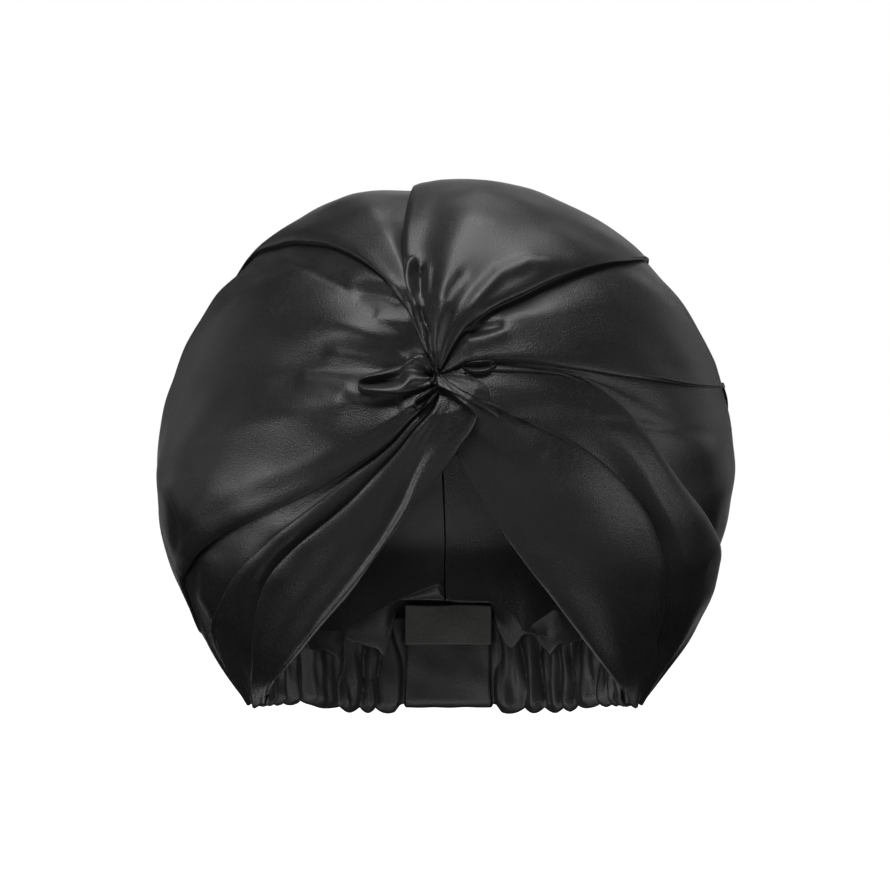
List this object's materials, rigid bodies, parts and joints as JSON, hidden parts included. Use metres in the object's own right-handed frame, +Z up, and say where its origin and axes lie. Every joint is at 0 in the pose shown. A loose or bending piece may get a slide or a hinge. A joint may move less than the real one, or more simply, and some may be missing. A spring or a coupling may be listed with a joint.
{
  "type": "hair bonnet",
  "caption": "Worn twist-front hair bonnet: two lapped halves of dark satin drawn into a front knot over a gathered elastic nape band, open below and at the face.",
  "frame": {"origin": "middle of the head opening, level with the flap tips beside the ears, where a head holds the bonnet", "axes": "+Z up along the wearer's head, +Y towards the nape, -Y towards the face, +X to the right in a front view"},
  "size_m": [0.2525, 0.2407, 0.2407],
  "materials": {
    "satin": "black satin with soft broad highlights",
    "band_cloth": "gathered black satin over elastic",
    "label_weave": "plain dark woven tape, blank"
  },
  "bodies": {
    "root": {"crown_left": "satin", "crown_right": "satin", "twist_knot": "satin", "elastic_band": "band_cloth", "band_tab": "band_cloth", "label": "label_weave"}
  },
  "joints": []
}
